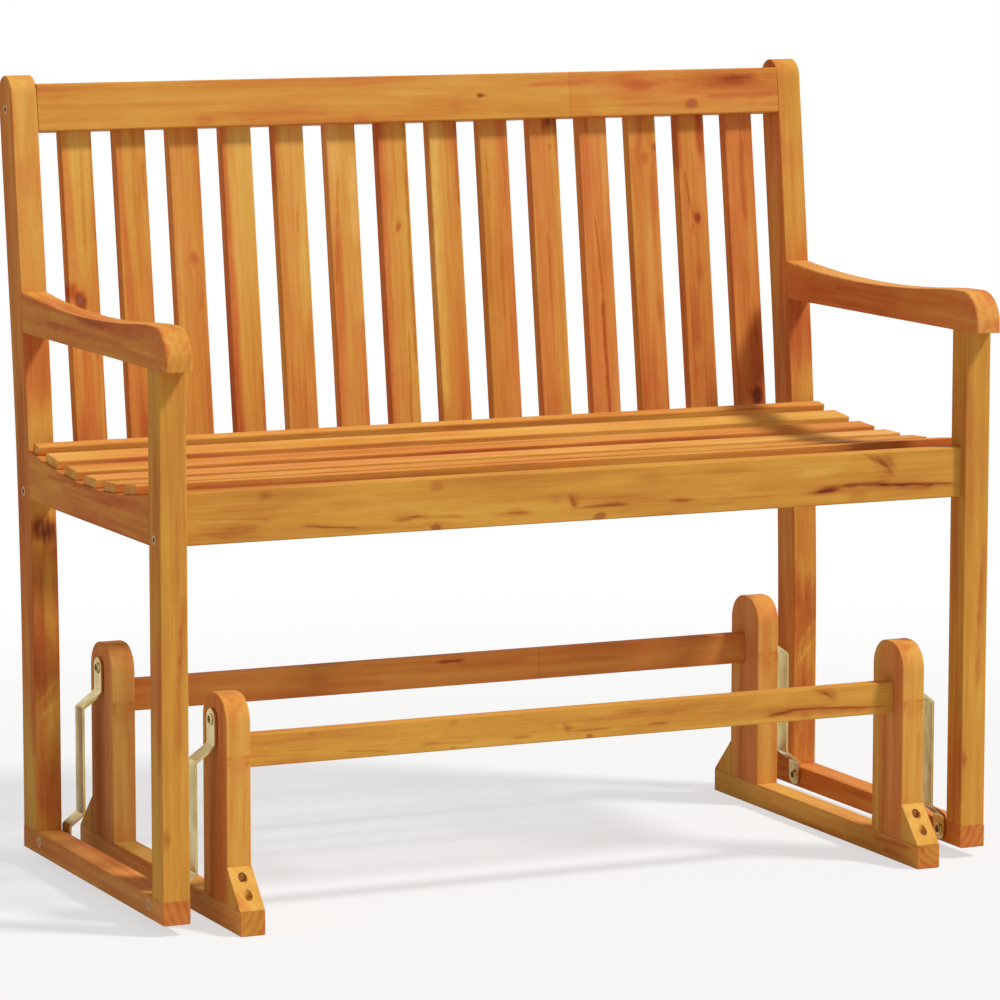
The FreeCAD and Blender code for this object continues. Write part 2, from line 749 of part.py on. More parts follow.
def main():
    """Build every sub-part, centre the bench over the origin and write the sub-parts."""
    os.makedirs("parts", exist_ok=True)
    parts = {**build_glider(), **build_base(), **build_hangers()}
    toe = BASE_MID - FOOT_HALF
    back = post_head().y + POST_D / 2
    middle = (toe + back) / 2
    print("depth", round(back - toe, 2), "middle", round(middle, 3))
    for name, shape in parts.items():
        shape.translate(V(0, -middle, 0))
        shape.exportStep("parts/" + name + ".step")
        print(name, len(shape.Solids), "solids", round(shape.Volume / 1000, 2), "cm3", shape.isValid())


main()
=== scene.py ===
import random
from math import cos, pi, radians, sin

import bmesh
import bpy
from mathutils import Matrix, Vector


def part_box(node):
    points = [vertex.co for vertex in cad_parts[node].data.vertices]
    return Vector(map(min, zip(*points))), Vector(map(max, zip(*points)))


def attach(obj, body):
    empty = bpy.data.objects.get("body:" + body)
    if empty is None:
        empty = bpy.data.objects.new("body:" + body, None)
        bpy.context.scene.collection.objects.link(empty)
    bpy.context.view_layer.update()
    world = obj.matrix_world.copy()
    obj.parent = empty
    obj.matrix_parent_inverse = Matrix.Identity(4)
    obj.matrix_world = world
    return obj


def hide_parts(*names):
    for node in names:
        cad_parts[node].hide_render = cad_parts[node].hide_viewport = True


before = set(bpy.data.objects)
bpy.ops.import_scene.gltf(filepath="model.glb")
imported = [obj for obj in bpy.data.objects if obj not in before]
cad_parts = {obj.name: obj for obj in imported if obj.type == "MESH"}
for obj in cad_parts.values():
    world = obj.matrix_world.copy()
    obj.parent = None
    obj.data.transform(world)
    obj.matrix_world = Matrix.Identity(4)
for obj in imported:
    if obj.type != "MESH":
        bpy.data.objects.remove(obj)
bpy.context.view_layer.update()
MM = 0.001


def paint(red, green, blue):
    """A colour given as it looks on a screen, 0 to 255, as the linear colour that a shader takes."""
    shown = [part / 255 for part in (red, green, blue)]
    return tuple(((part + 0.055) / 1.055) ** 2.4 for part in shown) + (1.0,)


# The timber's tones from pale sapwood at 0 to dark heart at 1, where it is golden and where it is red.
GOLDEN = [(0.0, paint(230, 186, 107)), (0.2, paint(217, 166, 80)), (0.4, paint(205, 147, 62)),
          (0.6, paint(186, 121, 52)), (0.8, paint(148, 88, 42)), (1.0, paint(88, 50, 31))]
RED = [(0.0, paint(229, 160, 97)), (0.2, paint(216, 139, 76)), (0.4, paint(204, 119, 61)),
       (0.6, paint(183, 94, 48)), (0.8, paint(144, 65, 37)), (1.0, paint(82, 38, 28))]
KNOT_GREY = paint(148, 106, 82)
PORE_BROWN = paint(112, 64, 34)

# The tones of the zinc plating, the painted shade in the sockets of the pivot bolts, the screws and the flat
# caps.
ZINC_PALE = paint(214, 196, 136)
ZINC_GOLD = paint(186, 158, 92)
SOCKET_SHADE = paint(150, 134, 84)
SOCKET_DEEP_SHADE = paint(104, 92, 56)
SCREW_PALE = paint(180, 114, 56)
SCREW_DARK = paint(140, 86, 42)
CAP_RIM = paint(206, 158, 104)
CAP_BROWN = paint(160, 102, 54)

WHITE = (1.0, 1.0, 1.0, 1.0)
FLOOR_SHADE = (0.7, 0.7, 0.7, 1.0)


def length_of(first, second):
    """How long a step with these two parts is. The parts are numbers or signals."""
    return (first * first + second * second) ** 0.5


class Signal:
    """What one socket of a node gives out. Arithmetic on it adds the Math nodes."""

    def __init__(self, finish, socket):
        self.finish = finish
        self.socket = socket

    def _maths(self, operation, *terms):
        return self.finish.node("ShaderNodeMath", {"operation": operation}, dict(enumerate(terms)))

    def __add__(self, other):
        return self._maths("ADD", self, other)

    def __radd__(self, other):
        return self._maths("ADD", other, self)

    def __sub__(self, other):
        return self._maths("SUBTRACT", self, other)

    def __rsub__(self, other):
        return self._maths("SUBTRACT", other, self)

    def __mul__(self, other):
        return self._maths("MULTIPLY", self, other)

    def __rmul__(self, other):
        return self._maths("MULTIPLY", other, self)

    def __truediv__(self, other):
        return self._maths("DIVIDE", self, other)

    def __pow__(self, other):
        return self._maths("POWER", self, other)

    def __abs__(self):
        return self._maths("ABSOLUTE", self)

    def or_more(self, other):
        return self._maths("MAXIMUM", self, other)

    def wave(self):
        return self._maths("SINE", self)

    def rise(self, low, high):
        """0 up to low and 1 from high, smooth between. With low above high it falls instead."""
        return self.finish.node("ShaderNodeMapRange", {"interpolation_type": "SMOOTHSTEP"},
                                {"Value": self, "From Min": low, "From Max": high})


# The colour sockets of a Mix node, by number because its other sockets have the same names.
MIX_FACTOR, MIX_FIRST, MIX_SECOND, MIX_RESULT = 0, 6, 7, 2
EASING_SAMPLES = 4


class Finish:
    """A material as it is put together."""

    def __init__(self, name, owner=None):
        if owner is None:
            owner = bpy.data.materials.new(name)
        owner.use_nodes = True
        self.owner = owner
        self.tree = owner.node_tree
        self.tree.nodes.clear()

    def node(self, kind, settings=None, sockets=None, out=0):
        """Adds a node: its settings first, then the values or links of its sockets."""
        made = self.tree.nodes.new(kind)
        for name, setting in (settings or {}).items():
            if name == "stops":
                self._stops(made.color_ramp, setting)
            else:
                setattr(made, name, setting)
        for name, value in (sockets or {}).items():
            if isinstance(value, Signal):
                self.tree.links.new(value.socket, made.inputs[name])
            else:
                made.inputs[name].default_value = value
        return Signal(self, made.outputs[out]) if len(made.outputs) else made

    @staticmethod
    def _stops(ramp, stops):
        while len(ramp.elements) < len(stops):
            ramp.elements.new(0.5)
        for element, (position, colour) in zip(ramp.elements, stops):
            element.position = position
            element.color = colour

    def split(self, vector):
        first = self.node("ShaderNodeSeparateXYZ", sockets={"Vector": vector})
        outputs = first.socket.node.outputs
        return [Signal(self, outputs[axis]) for axis in "XYZ"]

    def join(self, x, y, z):
        return self.node("ShaderNodeCombineXYZ", sockets={"X": x, "Y": y, "Z": z})

    def scaled(self, vector, factors):
        return self.node("ShaderNodeVectorMath", {"operation": "MULTIPLY"}, {0: vector, 1: factors})

    def moved(self, vector, step):
        return self.node("ShaderNodeVectorMath", {"operation": "ADD"}, {0: vector, 1: step})

    def noise(self, vector, detail=2.0, roughness=0.5):
        """Smooth noise about zero, from about -0.5 to 0.5."""
        return self.node("ShaderNodeTexNoise", None, {
            "Vector": vector, "Scale": 1.0, "Detail": detail, "Roughness": roughness}) - 0.5

    def mix(self, factor, first, second):
        return self.node("ShaderNodeMix", {"data_type": "RGBA"},
                         {MIX_FACTOR: factor, MIX_FIRST: first, MIX_SECOND: second}, out=MIX_RESULT)

    def ramp(self, factor, stops):
        return self.node("ShaderNodeValToRGB", {"stops": stops}, {"Fac": factor})

    def relief(self, height, strength, depth, easing):
        """Fine relief on a surface whose edges look eased. depth and easing are lengths."""
        eased = self.node("ShaderNodeBevel", {"samples": EASING_SAMPLES}, {"Radius": easing})
        return self.node("ShaderNodeBump", None, {
            "Strength": strength, "Distance": depth, "Height": height, "Normal": eased})

    def surface(self, shader):
        self.node("ShaderNodeOutputMaterial", sockets={"Surface": shader})
        return self.owner

    def solid(self, colour, roughness, relief, gloss, metallic=0.0):
        """The material, with a Principled shader at its end."""
        return self.surface(self.node("ShaderNodeBsdfPrincipled", None, {
            "Base Color": colour, "Metallic": metallic, "Roughness": roughness, "Normal": relief,
            "Specular IOR Level": gloss}))


# How the boards lie: the way the grain runs, and which way the broad face's width goes.
SLAT_LEAN = radians(7.5)
POST_LEAN = radians(4.0)


def lie(along, across):
    """The turn that takes a pattern's own X along the grain and its own Z across the face."""
    along = Vector(along).normalized()
    across = Vector(across).normalized()
    normal = across.cross(along)
    return Matrix((along, normal, across)).transposed().to_euler()


LIES = {
    "sideways": lie((1, 0, 0), (0, 0, 1)),
    "flat": lie((1, 0, 0), (0, 1, 0)),
    "upright": lie((0, 0, 1), (1, 0, 0)),
    "leaning": lie((0, sin(SLAT_LEAN), cos(SLAT_LEAN)), (1, 0, 0)),
    "bent": lie((0, sin(POST_LEAN), cos(POST_LEAN)), (1, 0, 0)),
    "fore_and_aft": lie((0, 1, 0), (0, 0, 1)),
}


# The marks on a board are bent by the wander of the timber's figure and frayed by its jitter. For an oval
# these are shares of its own size, and for a band a length in millimetres and a share of its half width.
OVAL_WANDER = 1.2
PATCH_FRAY = 0.6
KNOT_FRAY = 1.3
BAND_WANDER, BAND_WANDER_SHARE = 4, 1.2
BAND_FRAY, BAND_FRAY_SHARE = 2.5, 0.3

# Where a patch, a knot and a knot's grey heart are gone and where they are full, with 1 at the rim.
PATCH_FADE = (1.25, 0.25)
KNOT_FADE = (1.7, 0.5)
KNOT_HEART_FADE = (0.95, 0.2)
KNOT_LENGTH_SHARE = 1.5
KNOT_RED = 0.35

# A band's end thins out over THIN_END millimetres, or over THIN_END_SHARE half widths where that is more.
# Its side fades from BAND_SPREAD half widths and BAND_SOFTNESS millimetres to BAND_CORE half widths.
THIN_END, THIN_END_SHARE = 16.0, 8
LEAST_HALF_WIDTH = 0.05
BAND_SPREAD, BAND_SOFTNESS, BAND_CORE = 1.6, 0.5, 0.1
BAND_STRENGTH = 0.88

# A band darker than STAINING stains the timber round it, STAIN_REACH millimetres further out.
STAINING = 0.25
STAIN_REACH = 5
STAIN_DARK_SHARE = 0.22
STAIN_RED = 0.3


class Marks:
    """Adds up what the marks of one board give: darkness, redness and the grey of knots."""

    def __init__(self, along, across, wander, jitter):
        self.along = along
        self.across = across
        self.wander = wander
        self.jitter = jitter
        self.dark = 0.0
        self.red = 0.0
        self.grey = 0.0

    def reach(self, place, other, length, width, fray):
        """How far a point is from the middle of an oval, with 1 at its uneven rim."""
        off_along = (self.along - place * MM) / (length * MM)
        off_across = (self.across - other * MM) / (width * MM)
        return length_of(off_along, off_across) + self.wander * OVAL_WANDER + self.jitter * fray

    def add(self, share, dark, red):
        self.dark = share * dark + self.dark
        self.red = share * red + self.red

    def bands(self, bands):
        """Stripes and cracks with ragged sides, thin ends and weaker stretches."""
        for start, end, first, last, half, dark, red in bands:
            fade = min(max(THIN_END, THIN_END_SHARE * half), (end - start) / 2)
            inside = (self.along.rise(start * MM, (start + fade) * MM)
                      * self.along.rise(end * MM, (end - fade) * MM))
            slope = (last - first) / (end - start)
            course = self.across - (self.along - start * MM) * slope - first * MM
            ragged = (self.wander * ((BAND_WANDER + BAND_WANDER_SHARE * half) * MM)
                      + self.jitter * ((BAND_FRAY + BAND_FRAY_SHARE * half) * MM))
            width = inside * (half * MM) + LEAST_HALF_WIDTH * MM
            off = abs(course + ragged)
            body = off.rise(width * BAND_SPREAD + BAND_SOFTNESS * MM, width * BAND_CORE)
            self.add(body * (inside * (self.jitter + BAND_STRENGTH)), dark, red)
            if dark > STAINING:
                stain = off.rise(width * BAND_SPREAD + STAIN_REACH * MM, 0.0)
                self.add(stain * inside, dark * STAIN_DARK_SHARE, STAIN_RED)

    def patches(self, patches):
        """Soft clouds of darker or redder timber."""
        for place, other, length, width, dark, red in patches:
            self.add(self.reach(place, other, length, width, PATCH_FRAY).rise(*PATCH_FADE), dark, red)

    def knots(self, knots):
        """Uneven knots: a dark red rim that fades outwards, round a paler grey heart."""
        for place, other, radius, dark, grey in knots:
            reach = self.reach(place, other, radius * KNOT_LENGTH_SHARE, radius, KNOT_FRAY)
            self.add(reach.rise(*KNOT_FADE), dark, KNOT_RED)
            self.grey = reach.rise(*KNOT_HEART_FADE) * grey + self.grey


# The grain is drawn apart round a knot from the first of DRAWN_FADE, in radii, and fully at the second. It
# is drawn so further along the grain than across it.
DRAWN_ALONG_SHARE = 0.55
DRAWN_FADE = (4.0, 0.6)
DRAWN_APART = 0.7


def drawn_round_knots(along, across, knots):
    """The width coordinate, drawn apart where the grain goes round a knot."""
    for place, other, radius, _, _ in knots:
        off_along = (along - place * MM) * DRAWN_ALONG_SHARE
        off_across = across - other * MM
        reach = length_of(off_along, off_across) / (radius * MM)
        across = across - off_across * reach.rise(*DRAWN_FADE) * DRAWN_APART
    return across


# The layers of the timber's figure: how many to the metre along the grain and across it, and the detail
# and the roughness of their noise.
LAYERS = {
    "wander": (9.0, 30.0, 2.0, 0.5),
    "jitter": (60.0, 240.0, 2.0, 0.5),
    "clouds": (3.0, 24.0, 2.0, 0.5),
    "bands_of_tone": (4.5, 95.0, 3.0, 0.6),
    "streaks": (7.0, 210.0, 3.0, 0.6),
    "red_clouds": (2.2, 38.0, 2.0, 0.5),
    "mottle": (20.0, 60.0, 2.0, 0.5),
    "fibres": (26.0, 800.0, 2.0, 0.6),
    "pores": (80.0, 1500.0, 0.0, 0.5),
}
PORE_EDGES = (0.16, 0.28)
HEART_EDGES = (0.02, 0.13)
HEART_CLOUDS = 0.4

# What the layers give to a board's darkness, redness, roughness and fine relief.
TO_DARKNESS = {"clouds": 0.42, "bands_of_tone": 0.34, "streaks": 0.26, "mottle": 0.1, "heart": 0.05}
TO_REDNESS = {"red_clouds": 0.85, "bands_of_tone": 0.6, "streaks": 0.35, "mottle": 0.3, "heart": 0.18}
TO_ROUGHNESS = {"fibres": 0.14, "bands_of_tone": 0.1, "pores": 0.12}
TO_RELIEF = {"fibres": 0.5, "pores": -0.6}
FIBRE_DARK = 0.06
PORE_SHARE = 0.16
TIMBER_ROUGHNESS = 0.5
TIMBER_GLOSS = 0.01
TIMBER_RELIEF = 0.3
TIMBER_RELIEF_DEPTH = 0.2 * MM
TIMBER_EASING = 1.2 * MM

# The rings of the tree: their spacing and how far they wander in metres, how dark they are, and how many
# millimetres the middle of the tree is from the board's, behind or before it and to either side.
RING_SPACING = 0.0085
RING_WANDER = 0.012
RING_DARK = 0.016
PITH_DEPTH = (35, 70)
PITH_ACROSS = 45

# How far off in metres a board's own place in the pattern is, at most.
OWN_PLACE = 9

# How many millimetres inside a face's edge the narrow side starts to show and shows fully, and the same for
# a cut end. A cut end has less of the figure and more of the rings.
EDGE_FROM, EDGE_FULL = 1.4, 0.2
END_FROM, END_FULL = 1.5, 0.3
END_CALM = 0.8
END_RINGS = 0.04

# The dark line of a finger joint, in millimetres.
SEAM_WIDTH, SEAM_CORE = 0.6, 0.1
SEAM_DARK = 0.2


def figure_layers(finish, figure):
    """The layers of the timber's figure by name. Pores and heart go from 0 to 1, the others lie about 0."""
    layers = {name: finish.noise(finish.scaled(figure, (along, across, across)), detail, roughness)
              for name, (along, across, detail, roughness) in LAYERS.items()}
    layers["pores"] = layers["pores"].rise(*PORE_EDGES)
    layers["heart"] = (layers["red_clouds"] + layers["clouds"] * HEART_CLOUDS).rise(*HEART_EDGES)
    return layers


def blended(layers, weights, lively=1.0, start=0.0):
    """start and the layers that weights names, each by its weight, added up."""
    return sum((layers[name] * (weight * lively) for name, weight in weights.items()), start)


def growth_rings(depth, across, wander, chance):
    """The rings of the tree, seen as arcs on an end and as long bands on a face."""
    off_depth = depth - chance.choice((-1, 1)) * chance.uniform(*PITH_DEPTH) * MM
    off_across = across - chance.uniform(-PITH_ACROSS, PITH_ACROSS) * MM
    return ((length_of(off_depth, off_across) + wander * RING_WANDER) * (2 * pi / RING_SPACING)).wave()


def oiled_timber(node, lie_name, tone, red, lively=1.0, painted_shade_fall=(0.0, 0.0), knots=(), bands=(), patches=(),
                 side_bands=(), side_patches=(), edge=None, ends=0.0, joint=None):
    """The finish of one board.

    tone goes from 0, pale, to 1, dark heart, and red from 0, golden, to 1. lively is the figure's strength,
    and fall is what tone and red gain towards the foot, the left end or the front end. Marks are in
    millimetres from the board's middle, along the grain and across the face, and side marks along the grain
    and through the thickness. edge is half the face's width and what the narrow sides add to tone and to
    red. They then show the side marks alone, and the face shows its own alone. ends is what the cut ends add
    to tone. joint is the place of a finger joint and what the timber past it adds to tone and to red."""
    finish = Finish(f"oiled_timber_{node}")
    chance = random.Random(node)
    low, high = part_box(node)
    length = max(high - low)
    place = finish.node("ShaderNodeTexCoord", out="Object")
    board = finish.node("ShaderNodeMapping", {"vector_type": "TEXTURE"},
                        {"Vector": place, "Location": (low + high) / 2, "Rotation": LIES[lie_name]})
    along, depth, across = finish.split(board)
    own = [chance.uniform(-OWN_PLACE, OWN_PLACE) for _ in range(3)]
    bent = drawn_round_knots(along, across, knots)
    layers = figure_layers(finish, finish.moved(finish.join(along, depth, bent), own))
    wander, jitter = layers["wander"], layers["jitter"]
    rings = growth_rings(depth, bent, wander, chance)

    marks = Marks(along, across, wander, jitter)
    marks.knots(knots)
    marks.bands(bands)
    marks.patches(patches)
    side = Marks(along, depth, wander, jitter)
    side.bands(side_bands)
    side.patches(side_patches)
    if edge is not None:
        half_width, side_dark, side_red = edge
        narrow = abs(across).rise((half_width - EDGE_FROM) * MM, (half_width - EDGE_FULL) * MM)
        marks.dark = marks.dark * (1.0 - narrow) + narrow * side_dark
        marks.red = marks.red * (1.0 - narrow) + narrow * side_red
        side.dark = side.dark * narrow
        side.red = side.red * narrow

    figured = blended(layers, TO_DARKNESS)
    ringed = RING_DARK * lively
    if ends:
        cut_end = abs(along).rise(length / 2 - END_FROM * MM, length / 2 - END_FULL * MM)
        figured = figured * (1.0 - cut_end * END_CALM) + cut_end * (ends / lively)
        ringed = cut_end * END_RINGS + ringed
    # Painted shade: a board grows darker and redder towards its foot, its left end or its front end, as the
    # back slats do near the seat.
    foot_share = 0.5 - along / length
    darkness = (tone + foot_share * painted_shade_fall[0] + marks.dark + side.dark + figured * lively + rings * ringed
                + layers["fibres"] * FIBRE_DARK)
    redness = blended(layers, TO_REDNESS, lively, red + foot_share * painted_shade_fall[1] + marks.red + side.red)
    if joint is not None:
        past, darker, redder = joint
        beyond = along.rise(past * MM, (past + SEAM_WIDTH) * MM)
        seam = abs(along - past * MM).rise(SEAM_WIDTH * MM, SEAM_CORE * MM)
        darkness = darkness + beyond * darker + seam * SEAM_DARK
        redness = redness + beyond * redder

    colour = finish.mix(redness.rise(0.0, 1.0), finish.ramp(darkness, GOLDEN), finish.ramp(darkness, RED))
    colour = finish.mix(layers["pores"] * PORE_SHARE, colour, PORE_BROWN)
    if knots:
        colour = finish.mix(marks.grey, colour, KNOT_GREY)
    roughness = blended(layers, TO_ROUGHNESS, start=TIMBER_ROUGHNESS)
    relief = finish.relief(blended(layers, TO_RELIEF), TIMBER_RELIEF, TIMBER_RELIEF_DEPTH, TIMBER_EASING)
    return finish.solid(colour, roughness, relief, TIMBER_GLOSS)


# Plated steel: its clouds and drawing lines to the metre in X, Y and Z, and what they give.
PLATING_CLOUDS = (60.0, 60.0, 22.0)
DRAWING_LINES = (900.0, 900.0, 30.0)
CLOUD_CONTRAST = 2.2
PLATING_ROUGHNESS = 0.26
CLOUD_ROUGHNESS = 0.16
LINE_ROUGHNESS = 0.1
PLATING_RELIEF = 0.15
PLATING_RELIEF_DEPTH = 0.05 * MM
PLATING_EASING = 0.5 * MM

# A cap's rim in shares of the cap's radius: where it starts and is full, and where outside it ends.
RIM_INSIDE = (0.62, 0.74)
RIM_OUTSIDE = (1.5, 1.2)


def plated_steel(name, pale, deep, metallic=1.0, gloss=0.5, rims=None):
    """Plated steel, a little dull and clouded, with fine drawing lines. metallic and gloss are the shader's,
    and are lower for the brown caps and screws and for the painted shade in the bolts' sockets. rims is a
    radius, a list of middles in Y and Z, and a colour: rings just inside the edges of caps."""
    finish = Finish(name)
    place = finish.node("ShaderNodeTexCoord", out="Object")
    clouds = finish.noise(finish.scaled(place, PLATING_CLOUDS), detail=3.0, roughness=0.6)
    lines = finish.noise(finish.scaled(place, DRAWING_LINES))
    colour = finish.mix((clouds * CLOUD_CONTRAST + 0.5).rise(0.0, 1.0), pale, deep)
    if rims is not None:
        radius, middles, shade = rims
        _, y, z = finish.split(place)
        share = 0.0
        for middle_y, middle_z in middles:
            reach = length_of(y - middle_y, z - middle_z) / radius
            share = reach.rise(*RIM_INSIDE) * reach.rise(*RIM_OUTSIDE) + share
        colour = finish.mix(share, colour, shade)
    roughness = PLATING_ROUGHNESS + clouds * CLOUD_ROUGHNESS + lines * LINE_ROUGHNESS
    relief = finish.relief(lines, PLATING_RELIEF, PLATING_RELIEF_DEPTH, PLATING_EASING)
    return finish.solid(colour, roughness, relief, gloss, metallic)


# The marks of each board, in millimetres. A knot is its place along and across, radius, darkness and
# grey. A band is its start, end, place across at each, half width, darkness and redness. A patch is its
# place along and across, half length, half width, darkness and redness. WHOLE is past any board's end.
WHOLE = 600
RAIL_BANDS = [
    (-490, -385, -1, -6, 1.5, 0.14, 0.3), (-497, -395, -9, -14, 3, 0.12, 0.4),
    (-497, -380, -19, -22, 6, 0.12, 0.35), (-362, -278, -14.5, -22, 1.1, 0.26, 0.15),
    (-252, -205, -19, -12, 2.6, 0.2, 0.2), (-230, -148, -12, -17, 2.2, 0.24, 0.2),
    (-112, -64, -16.5, -16, 2.2, 0.18, 0.2), (-29, -8, 7, -16, 6, 0.2, 0.2),
    (-17, 60, -13.5, -14, 1.8, 0.2, 0.15), (55, 250, -12, -15, 1.2, 0.08, 0.1),
    (100, 146, -13, -13, 2.2, 0.14, 0.2), (284, 348, -17, -6, 3.4, 0.26, 0.25),
    (325, 402, -6, -9.5, 2.6, 0.29, 0.2), (380, 496, -9, -14, 1.9, 0.29, 0.2),
    (295, 480, -12, -15, 6, 0.12, 0.3), (372, 414, 34, -6, 7, 0.24, 0.2),
    (354, 404, 34, 8, 4, 0.24, 0.15), (386, 416, 34, 0, 6, 0.16, 0.2), (250, 345, 6, 12, 5, -0.1, -0.1)]
RAIL_PATCHES = [
    (-226, -13, 24, 6, 0.16, 0.2), (-90, -15.5, 26, 5, 0.16, 0.2), (-16, -8, 10, 11, 0.16, 0.2),
    (392, 12, 16, 22, 0.1, 0.2), (20, -13, 36, 4, 0.12, 0.2), (312, -13, 26, 6, 0.14, 0.2),
    (124, -13, 20, 5, 0.08, 0.2), (-190, 21, 10, 8, 0.16, 0.1), (355, -21, 14, 7, 0.12, 0.25),
    (85, 16, 24, 6, 0.12, 0.15), (-400, 22, 9, 6, 0.12, 0.1), (300, 16, 60, 12, -0.08, 0.0),
    (-40, -2, 10, 12, 0.06, 0.2), (-150, 12, 40, 8, -0.05, -0.1), (190, 18, 34, 6, 0.07, 0.15),
    (-300, 6, 30, 8, 0.05, 0.15), (30, 16, 24, 8, -0.04, -0.05), (-450, 20, 30, 8, -0.05, 0.0),
    (230, -4, 26, 7, 0.05, 0.1)]
RAIL_KNOTS = [(-190, -27, 3.6, 0.3, 0.1), (17, -26, 4.2, 0.3, 0.1)]
STRETCHER_LENGTH_SHARE = 0.843
STRETCHER_WIDTH_SHARE = 0.63
STRETCHER_DARK_SHARE = 0.78


def lesser(marks, along_places, across_places, dark_place):
    """The same marks, fainter, on a shorter and narrower rail. The lists say which of a mark's figures lie
    along the grain and which across it."""
    shares = {**dict.fromkeys(along_places, STRETCHER_LENGTH_SHARE),
              **dict.fromkeys(across_places, STRETCHER_WIDTH_SHARE), dark_place: STRETCHER_DARK_SHARE}
    return [tuple(figure * shares.get(i, 1.0) for i, figure in enumerate(mark)) for mark in marks]


# The rear posts' front patches: a knot and timber tone, and darker patches below the arm and below the seat
# that are partly painted shade.
POST_PATCHES_AND_SHADE = [
    (330, 0, 34, 24, 0.03, 0.2), (110, 0, 60, 30, 0.16, 0.45), (-88, -3, 17, 19, 0.46, 0.1),
    (-104, 10, 26, 14, 0.14, 0.2), (-150, 0, 60, 40, 0.1, 0.1), (-250, -4, 54, 26, 0.15, 0.3),
    (-400, 0, 70, 34, 0.2, 0.3)]
POST_BANDS = [(-330, -285, -16, 18, 4, -0.14, -0.3), (-310, -262, -16, 18, 2, -0.1, -0.2),
              (-60, 40, 10, 14, 4, 0.1, 0.3)]
LEG_BANDS = [(-150, 70, 2, 13, 5, 0.1, 0.45), (-60, 20, 6, 8, 2, 0.06, 0.3)]

